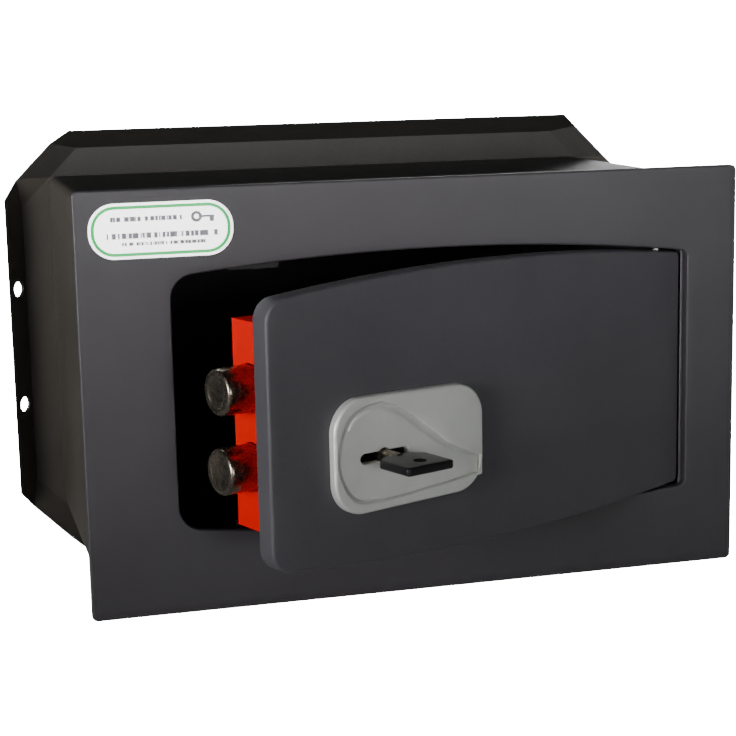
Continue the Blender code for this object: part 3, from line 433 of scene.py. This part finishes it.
# printed sticker: green line at a constant distance from the rim, broken bars in rows, a small key drawing
def stickerPrint(middle, halfX, halfZ, values):
    material, nodes, links, shader = newMaterial("stickerPrint")
    coord = nodes.new("ShaderNodeTexCoord").outputs["Object"]
    split = nodes.new("ShaderNodeSeparateXYZ")
    links.new(coord, split.inputs["Vector"])

    def do(operation, *terms):
        return calc(nodes, links, operation, *terms)

    def distance(px, pz):  # sqrt(px^2 + pz^2)
        return do("SQRT", do("ADD", do("MULTIPLY", px, px), do("MULTIPLY", pz, pz)))

    def beyond(axis, reach):  # max(|axis| - reach, 0)
        return do("MAXIMUM", do("SUBTRACT", do("ABSOLUTE", axis), reach), 0.0)

    def inside(px, pz, halfWide, halfTall):  # 1 within the box
        return do("MULTIPLY", do("LESS_THAN", do("ABSOLUTE", px), halfWide),
                  do("LESS_THAN", do("ABSOLUTE", pz), halfTall))

    x = do("SUBTRACT", split.outputs["X"], float(middle[0]))
    z = do("SUBTRACT", split.outputs["Z"], float(middle[1]))
    core = distance(beyond(x, halfX - values["round"]), beyond(z, halfZ - values["round"]))
    fromLine = do("ABSOLUTE", do("SUBTRACT", core, values["round"] - values["line"]))
    green = do("LESS_THAN", fromLine, values["lineHalf"])
    # key drawing: a ring, a stem, teeth
    keyX = do("SUBTRACT", x, values["keyX"])
    keyZ = do("SUBTRACT", z, values["keyZ"])
    ring = do("ABSOLUTE", do("SUBTRACT", distance(keyX, keyZ), values["ringR"]))
    ink = do("LESS_THAN", ring, values["ringHalf"])
    ink = do("MAXIMUM", ink, inside(do("SUBTRACT", keyX, values["stemX"]), keyZ, *values["stemHalf"]))
    teethX = do("SUBTRACT", keyX, values["teethX"])
    ink = do("MAXIMUM", ink, inside(teethX, do("ADD", keyZ, values["teethDrop"]), *values["teethHalf"]))
    for level, tall, start, end, scale in values["rows"]:
        word = noise(nodes, links, split.outputs["X"], scale, 2.0, 0.7)
        solid = do("GREATER_THAN", word.outputs["Fac"], values["solid"])
        row = inside(do("SUBTRACT", x, (start + end) / 2), do("SUBTRACT", z, level), (end - start) / 2, tall)
        ink = do("MAXIMUM", ink, do("MULTIPLY", solid, row))
    cloud = noise(nodes, links, coord, 60.0, 3.0)
    paper = ramp(nodes, [(0.3, (0.93, 0.95, 0.93)), (0.7, (0.98, 1.0, 0.98))])
    links.new(cloud.outputs["Fac"], paper.inputs["Fac"])
    colour = paper.outputs["Color"]
    for mask, tint in ((green, values["green"]), (ink, values["ink"])):
        mix = nodes.new("ShaderNodeMix")
        mix.data_type = "RGBA"
        mix.inputs[7].default_value = tint
        links.new(mask, mix.inputs["Factor"])
        links.new(colour, mix.inputs[6])
        colour = mix.outputs[2]
    links.new(colour, shader.inputs["Base Color"])
    gloss = ramp(nodes, [(0.3, (0.32, 0.32, 0.32)), (0.7, (0.40, 0.40, 0.40))])
    links.new(cloud.outputs["Fac"], gloss.inputs["Fac"])
    links.new(gloss.outputs["Color"], shader.inputs["Roughness"])
    links.new(colour, shader.inputs["Emission Color"])  # the film is lit from within, unlike a real one
    shader.inputs["Emission Strength"].default_value = values["glow"]
    return material


slotMaterials = {"charcoal_coat": frameCoat, "dark_coat": bodyCoat, "zinc_steel": zincPlate,
                 "nickel": nickelPlate, "red_paint": redPaint, "satin_zinc": satinZinc,
                 "lever_brass": leverBrass, "bronze": bushBronze, "black_plastic": blackMoulding,
                 "label_film": labelFilm}
for part in frame["record"]["subparts"]:
    node = frame["nodes"][part["node"]]
    for place in node.material_slots:
        place.material = slotMaterials[part["material_slot"]]
print("materials set on the packed nodes")

frameValues = {"openLeft": -0.125, "openRight": 0.143, "openPeak": 0.0700, "archRise": 0.008,
               "leftCorner": 0.012, "rightCorner": 0.004, "corner": 0.003,
               "outerRound": 0.0011, "innerRound": 0.0009}
(x0, y0, z0), (x1, y1, z1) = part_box("front_frame")
halfSpan = (frameValues["openRight"] - frameValues["openLeft"]) / 2
archX = (frameValues["openRight"] + frameValues["openLeft"]) / 2
archR = (halfSpan ** 2 + frameValues["archRise"] ** 2) / (2 * frameValues["archRise"])
opening = archedOutline(frameValues["openLeft"], frameValues["openRight"], frameValues["openPeak"],
                        frameValues["leftCorner"], frameValues["rightCorner"], archX, archR)
edge = roundedPolygon([(x1, z0), (x1, z1), (x0, z1), (x0, z0)], [frameValues["corner"]] * 4, 10, 24)
openLoop, edgeLoop = matchedLoops((archX, 0.0), opening, edge)
grid = onFace(ringPlate(openLoop, edgeLoop, 0.0, y1 - y0, frameValues["outerRound"],
                        frameValues["innerRound"], 10))
mesh = gridMesh("frameFace", grid, closeRows=True)
addPiece("frameFace", mesh, frameCoat, "safe_body", "charcoal_coat", "front_frame")
print("front frame drawn")

shellValues = {"wall": 0.003, "corner": 0.005, "edgeRound": 0.0006}
(x0, y0, z0), (x1, y1, z1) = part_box("body_shell")
wall = shellValues["wall"]
outer = roundedPolygon([(x1, z0), (x1, z1), (x0, z1), (x0, z0)], [shellValues["corner"]] * 4, 14, 24)
inner = roundedPolygon([(x1 - wall, z0 + wall), (x1 - wall, z1 - wall), (x0 + wall, z1 - wall),
                        (x0 + wall, z0 + wall)], [shellValues["corner"] - wall] * 4, 14, 24)
innerLoop, outerLoop = matchedLoops((0.0, 0.0), inner, outer)
grid = onFace(ringPlate(innerLoop, outerLoop, y0 - faceY, y1 - faceY, shellValues["edgeRound"],
                        shellValues["edgeRound"], 2))
mesh = gridMesh("boxWalls", grid, closeRows=True)
addPiece("boxWalls", mesh, bodyCoat, "safe_body", "dark_coat", "body_shell")
print("box walls drawn")

doorValues = {"left": -0.1187, "right": 0.1385, "peak": 0.0683, "leftCorner": 0.0104, "rightCorner": 0.003,
              "thick": 0.011, "outerRound": 0.0014, "holeRound": 0.0004}
doorEdge = archedOutline(doorValues["left"], doorValues["right"], doorValues["peak"],
                         doorValues["leftCorner"], doorValues["rightCorner"], archX, archR)
keyPlace = shutPlace(joints["key_turn"]["pos_m"])
keyCentre = np.array([keyPlace[0], keyPlace[2]])
keyholeValues = {"half": 0.0137, "slot": 0.0046, "centre": 0.0036}


# a slot with round ends and a round middle: three circles joined along the slot's flats
def keyholeOutline(grow=0.0):
    slotR, middleR = keyholeValues["slot"] / 2 + grow, keyholeValues["centre"] + grow
    reach = keyholeValues["half"] + grow - slotR
    notch = math.asin(slotR / middleR)
    parts = []
    for middle, radius, start, end in ((reach, slotR, -math.pi / 2, math.pi / 2),
                                       (0, middleR, notch, math.pi - notch),
                                       (-reach, slotR, math.pi / 2, 1.5 * math.pi),
                                       (0, middleR, math.pi + notch, 2 * math.pi - notch)):
        t = np.linspace(start, end, 12)
        parts.append(keyCentre + np.stack([middle + radius * np.cos(t), radius * np.sin(t)], -1))
    return np.vstack(parts)


holeLoop, doorLoop = matchedLoops(keyCentre, keyholeOutline(), doorEdge)
grid = onFace(ringPlate(holeLoop, doorLoop, 0.0, doorValues["thick"], doorValues["outerRound"],
                        doorValues["holeRound"], 12))
mesh = gridMesh("doorSlab", turnDoor(grid), closeRows=True)
# the door slab takes the lighter copy of the charcoal coat, painted light
addPiece("doorSlab", mesh, doorCoat, "door", "charcoal_coat", "door_plate")
print("door slab drawn")

# rows cross the casting from its keyhole out: panel, sloping band, groove, raised rim, side
plateValues = {"left": -0.0868, "right": 0.0004, "low": -0.0410, "high": 0.0132, "corner": 0.0160,
               "lowRise": 0.0010, "highDrop": 0.0014, "highRise": 0.0006,
               "rear": -0.0003, "panel": -0.0038, "rim": -0.0045, "groove": -0.0014, "grooveWide": 0.0009,
               "edgeRound": 0.0014, "holeGrow": 0.0001, "holeRound": 0.0003, "bandLeast": 0.0007,
               "bandTop": 0.0006, "bandGrowth": 0.0050, "bandDrop": 0.0011, "bandTilt": (0.42, 0.86),
               "bandFade": 0.012, "bandStart": -0.072, "bandRun": 0.066, "wallLean": 0.00012}


# Catmull-Rom curve through a few points, whole curve at once
def smoothRun(points, steps):
    knots = np.array(points, float)
    knots = np.vstack([2 * knots[0] - knots[1], knots, 2 * knots[-1] - knots[-2]])
    place = np.linspace(0, len(points) - 1, steps)
    index = np.minimum(place.astype(int), len(points) - 2)
    t = (place - index)[:, None]
    a, b, c, d = knots[index], knots[index + 1], knots[index + 2], knots[index + 3]
    square, cube = 2 * a - 5 * b + 4 * c - d, 3 * b - a - 3 * c + d
    return 0.5 * (2 * b + (c - a) * t + square * t ** 2 + cube * t ** 3)


# (x, z) of the sunk panel's outline: right end, S-curve above, round left side, slow rise below
dropPoints = [(-0.0012, -0.0328), (-0.0012, -0.0238), (-0.0092, -0.0209), (-0.0205, -0.0146),
              (-0.0347, -0.0038), (-0.0480, 0.0055), (-0.0600, 0.0097), (-0.0700, 0.0088),
              (-0.0790, 0.0035), (-0.0845, -0.0110), (-0.0832, -0.0235), (-0.0750, -0.0345),
              (-0.0601, -0.0372), (-0.0425, -0.0361), (-0.0244, -0.0346), (-0.0012, -0.0328)]
drop = np.vstack([smoothRun(dropPoints[:2], 8)[:-1], smoothRun(dropPoints[1:7], 60)[:-1],
                  smoothRun(dropPoints[6:13], 60)[:-1], smoothRun(dropPoints[12:], 40)[:-1]])
v = plateValues
outer = roundedPolygon([(v["right"], v["low"] + v["lowRise"]), (v["right"], v["high"] - v["highDrop"]),
                        (v["left"], v["high"] + v["highRise"]), (v["left"], v["low"])],
                       [v["corner"]] * 4, 24, 14)
outer = np.clip(outer, (v["left"], v["low"]), (v["right"], v["high"]))
holeLoop, dropLoop, outerLoop = matchedLoops(keyCentre, keyholeOutline(v["holeGrow"]), drop, outer)
holeOut, dropOut, rimOut = outwardOf(holeLoop), outwardOf(dropLoop), outwardOf(outerLoop)
rel = dropLoop - keyCentre
tiltX, tiltZ = v["bandTilt"]
upper = (rel[:, 1] * tiltZ + rel[:, 0] * tiltX) / v["bandFade"]
upper = np.clip(upper, 0, 1)  # 1 along the S-curve, 0 below and left
along = np.clip((dropLoop[:, 0] - v["bandStart"]) / v["bandRun"], 0, 1)
# sloping band's width: least + upper * (top + growth * along ** 1.4), so it is wide towards the right
band = v["bandLeast"] + upper * (v["bandTop"] + v["bandGrowth"] * along ** 1.4)
towards = rel / np.linalg.norm(rel, axis=1, keepdims=True)
bandEdge = dropLoop - towards * (band + v["grooveWide"])[:, None]
start = holeLoop + holeOut * v["holeRound"]
rows = [atDepth(holeLoop, v["rear"]), atDepth(holeLoop, v["panel"] + v["holeRound"]),
        atDepth(start, v["panel"])]
for share in np.linspace(0, 1, 12)[1:]:
    rows.append(atDepth(start + (bandEdge - start) * share, v["panel"]))
foot = dropLoop - dropOut * v["grooveWide"]
for share in (0.12, 0.88, 1.0):
    rows.append(atDepth(bandEdge + (foot - bandEdge) * share, v["panel"] + v["bandDrop"] * share))
rows.append(atDepth(foot + dropOut * v["wallLean"], v["groove"]))
rows.append(atDepth(dropLoop - dropOut * v["wallLean"], v["groove"]))
for outset, fall in ((0.0, 0.0005), (0.00022, 0.00016), (0.0006, 0.0)):  # the rim's inner round
    start = dropLoop + dropOut * outset
    rows.append(atDepth(start, v["rim"] + fall))
end = outerLoop - rimOut * v["edgeRound"]
for share in np.linspace(0, 1, 8)[1:-1]:
    rows.append(atDepth(start + (end - start) * share, v["rim"]))
for inset, fall in roundProfile(v["edgeRound"], 8):
    rows.append(atDepth(outerLoop - rimOut * inset, v["rim"] + fall))
rows.append(atDepth(outerLoop, v["rear"]))
grid = turnDoor(onFace(np.stack(rows)))
addPiece("keyPlate", gridMesh("keyPlate", grid, closeRows=True, smooth=50), satinZinc, "door", "satin_zinc",
         "escutcheon", "escutcheon_inlay")
print("key plate drawn")

boltValues = {"radius": 0.011, "end": -0.1216, "rear": -0.0822, "depth": 0.038, "chamfer": 0.0016,
              "dish": 0.0005, "rearChamfer": 0.0005, "core": 0.0010}
boltAxis = turnDoor(np.array([1.0, 0.0, 0.0]) + doorPivot) - doorPivot
radius, chamfer, dish = boltValues["radius"], boltValues["chamfer"], boltValues["dish"]
rearCut, core = boltValues["rearChamfer"], boltValues["core"]
length = boltValues["rear"] - boltValues["end"]
# profile: dished end, rounded rim, straight side, small cut at the rear
t = np.linspace(0, math.pi / 2, 7)
profile = [(dish, core), (dish, radius * 0.60), (dish * 0.4, radius * 0.66), (0.0, radius * 0.70)]
profile += list(zip(chamfer * (1 - np.cos(t)), radius - chamfer * (1 - np.sin(t))))
profile += [(length * share, radius) for share in (0.3, 0.6, 0.9)]
profile += [(length - rearCut, radius), (length, radius - rearCut), (length, core)]
for name in ("bolt_upper", "bolt_lower"):
    low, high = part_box(name)
    level = (low[2] + high[2]) / 2
    start = turnDoor(np.array([boltValues["end"], faceY + boltValues["depth"], level]))
    grid = turnedGrid(profile, start, boltAxis, 72)
    mesh = gridMesh("lockBolt" + name[5:].capitalize(), grid, capStart=True, capEnd=True, smooth=35)
    addPiece(mesh.name, mesh, nickelPlate, "bolt_works", "nickel", name)
print("bolts drawn")

# a plate with eight corners and a ring hole, drawn in plan: u across, v in depth, thickness upwards
gripValues = {"half": 0.0132, "front": -0.0380, "rear": -0.0118, "cut": 0.0055, "nip": 0.0012,
              "thick": 0.0048, "holeDepth": -0.0295, "holeR": 0.0032, "round": 0.0013,
              "holeRound": 0.0005, "cornerRound": 0.0008, "thinning": 0.16}
g = gripValues
side = [(g["half"] - g["cut"], g["rear"]), (g["half"], g["rear"] - g["cut"]),
        (g["half"], g["front"] + g["nip"]), (g["half"] - g["nip"], g["front"])]
corners = side + [(-x, depth) for x, depth in reversed(side)]
outer = roundedPolygon(corners[::-1], [g["cornerRound"]] * 8, 8, 10)
t = np.linspace(0, 2 * np.pi, 48, endpoint=False)
hole = np.stack([g["holeR"] * np.cos(t), g["holeDepth"] + g["holeR"] * np.sin(t)], -1)
holeLoop, gripLoop = matchedLoops((0.0, g["holeDepth"]), hole, outer)
plate = ringPlate(holeLoop, gripLoop, -g["thick"] / 2, g["thick"] / 2, g["round"], g["holeRound"], 10,
                  g["round"])
# thinner towards the edge: thickness * (1 - thinning * (distance from the middle / half width) squared)
spread = np.hypot(plate[..., 0], plate[..., 2] - (g["front"] + g["rear"]) / 2) / g["half"]
lift = plate[..., 1] * (1 - g["thinning"] * np.clip(spread, 0, 1) ** 2)
grid = np.stack([keyPlace[0] + plate[..., 0], faceY + plate[..., 2], keyPlace[2] + lift], -1)
mesh = gridMesh("keyGrip", turnDoor(grid), closeRows=True)
addPiece("keyGrip", mesh, blackMoulding, "key", "black_plastic", "key_bow")
print("key grip drawn")

stickerEdge = 0.00012  # soft edge of the film
(x0, y0, z0), (x1, y1, z1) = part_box("front_label")
outline = roundedPolygon([(x1, z0), (x1, z1), (x0, z1), (x0, z0)], [printValues["round"]] * 4, 24, 12)
middle = np.array([(x0 + x1) / 2, (z0 + z1) / 2])
rows = [atDepth(middle + (outline - middle) * share, y1) for share in (0.1, 0.5, 0.999)]
rows += [atDepth(outline, y0 + stickerEdge), atDepth(middle + (outline - middle) * 0.997, y0)]
rows += [atDepth(middle + (outline - middle) * share, y0) for share in (0.9, 0.6, 0.3, 0.1)]
mesh = gridMesh("sticker", np.stack(rows), capStart=True, capEnd=True, smooth=60)
film = stickerPrint(middle, (x1 - x0) / 2, (z1 - z0) / 2, printValues)
addPiece("sticker", mesh, film, "safe_body", "label_film", "front_label")
print("sticker drawn")

cameraValues = {"place": (-0.248, -1.046, 0.171), "aim": (-0.0284, -0.21, 0.0119), "roll": -1.22,
                "lens": 86.7}
cameraData = bpy.data.cameras.new("studioCamera")
cameraData.lens = cameraValues["lens"]
cameraData.clip_start = 0.01
camera = bpy.data.objects.new("studioCamera", cameraData)
bpy.context.scene.collection.objects.link(camera)
look = Vector(cameraValues["aim"]) - Vector(cameraValues["place"])
roll = Matrix.Rotation(math.radians(cameraValues["roll"]), 4, "Z")
turn = look.to_track_quat("-Z", "Y").to_matrix().to_4x4() @ roll
camera.matrix_world = Matrix.Translation(cameraValues["place"]) @ turn
bpy.context.scene.camera = camera

floorValues = {"size": 6.0, "drop": 0.0005, "glow": 36.0}
lowest = cadBox[0][2] - floorValues["drop"]
half = floorValues["size"] / 2
floorMesh = bpy.data.meshes.new("studioFloor")
floorCorners = [(-half, -half, lowest), (half, -half, lowest), (half, half, lowest), (-half, half, lowest)]
floorMesh.from_pydata(floorCorners, [], [(0, 1, 2, 3)])
floor = bpy.data.objects.new("studioFloor", floorMesh)
bpy.context.scene.collection.objects.link(floor)
floorMaterial, nodes, links, shader = newMaterial("studioFloor")
shader.inputs["Base Color"].default_value = (0.9, 0.9, 0.9, 1)
shader.inputs["Roughness"].default_value = 0.9
shader.inputs["Emission Color"].default_value = (1.0, 1.0, 1.0, 1)
seen = nodes.new("ShaderNodeLightPath").outputs["Is Camera Ray"]  # bright to the camera alone
glow = calc(nodes, links, "MULTIPLY", seen, floorValues["glow"])
links.new(glow, shader.inputs["Emission Strength"])
floorMesh.materials.append(floorMaterial)

# the backdrop is white to the camera; other rays meet a dim room that is darkest overhead
worldValues = {"backdrop": 40.0, "room": 0.30}
world = bpy.data.worlds.new("studioWorld")
world.use_nodes = True
nodes, links = world.node_tree.nodes, world.node_tree.links
roomShade = nodes["Background"]
backdrop = nodes.new("ShaderNodeBackground")
backdrop.inputs["Color"].default_value = (1.0, 1.0, 1.0, 1)
backdrop.inputs["Strength"].default_value = worldValues["backdrop"]
height = nodes.new("ShaderNodeSeparateXYZ")
links.new(nodes.new("ShaderNodeTexCoord").outputs["Generated"], height.inputs["Vector"])
shade = ramp(nodes, [(0.0, (0.35, 0.35, 0.35)), (0.18, (0.30, 0.30, 0.30)), (0.45, (0.02, 0.02, 0.02))])
links.new(height.outputs["Z"], shade.inputs["Fac"])
links.new(shade.outputs["Color"], roomShade.inputs["Color"])
roomShade.inputs["Strength"].default_value = worldValues["room"]
choice = nodes.new("ShaderNodeMixShader")
links.new(nodes.new("ShaderNodeLightPath").outputs["Is Camera Ray"], choice.inputs["Fac"])
links.new(roomShade.outputs["Background"], choice.inputs[1])
links.new(backdrop.outputs["Background"], choice.inputs[2])
links.new(choice.outputs["Shader"], nodes["World Output"].inputs["Surface"])
bpy.context.scene.world = world

# (name, place, aim, size, spread in degrees, power); the first two are narrow and their lower edge lies
# near the middle of the object, so that light falls away downwards
lightValues = [("keyPanel", (0.25, -1.9, 0.28), (0.03, -0.2, 0.27), (0.84, 0.46), 26, 0.75),
               ("sidePanel", (-1.6, -1.15, 0.28), (-0.17, -0.10, 0.24), (0.70, 0.42), 34, 2.8),
               ("softPanel", (0.5, -1.9, 0.25), (0.0, -0.2, 0.05), (1.1, 0.7), 180, 2.3),
               ("rearPanel", (0.9, 1.9, 0.15), (0.05, 0.0, 0.0), (1.2, 0.9), 60, 5.0)]
for name, place, aim, size, spread, power in lightValues:
    lamp = bpy.data.lights.new(name, "AREA")
    lamp.shape = "RECTANGLE"
    lamp.size, lamp.size_y = size
    lamp.spread = math.radians(spread)
    lamp.energy = power
    holder = bpy.data.objects.new(name, lamp)
    bpy.context.scene.collection.objects.link(holder)
    direction = Vector(aim) - Vector(place)
    holder.matrix_world = Matrix.Translation(place) @ direction.to_track_quat("-Z", "Y").to_matrix().to_4x4()
print("camera, floor and lights set")
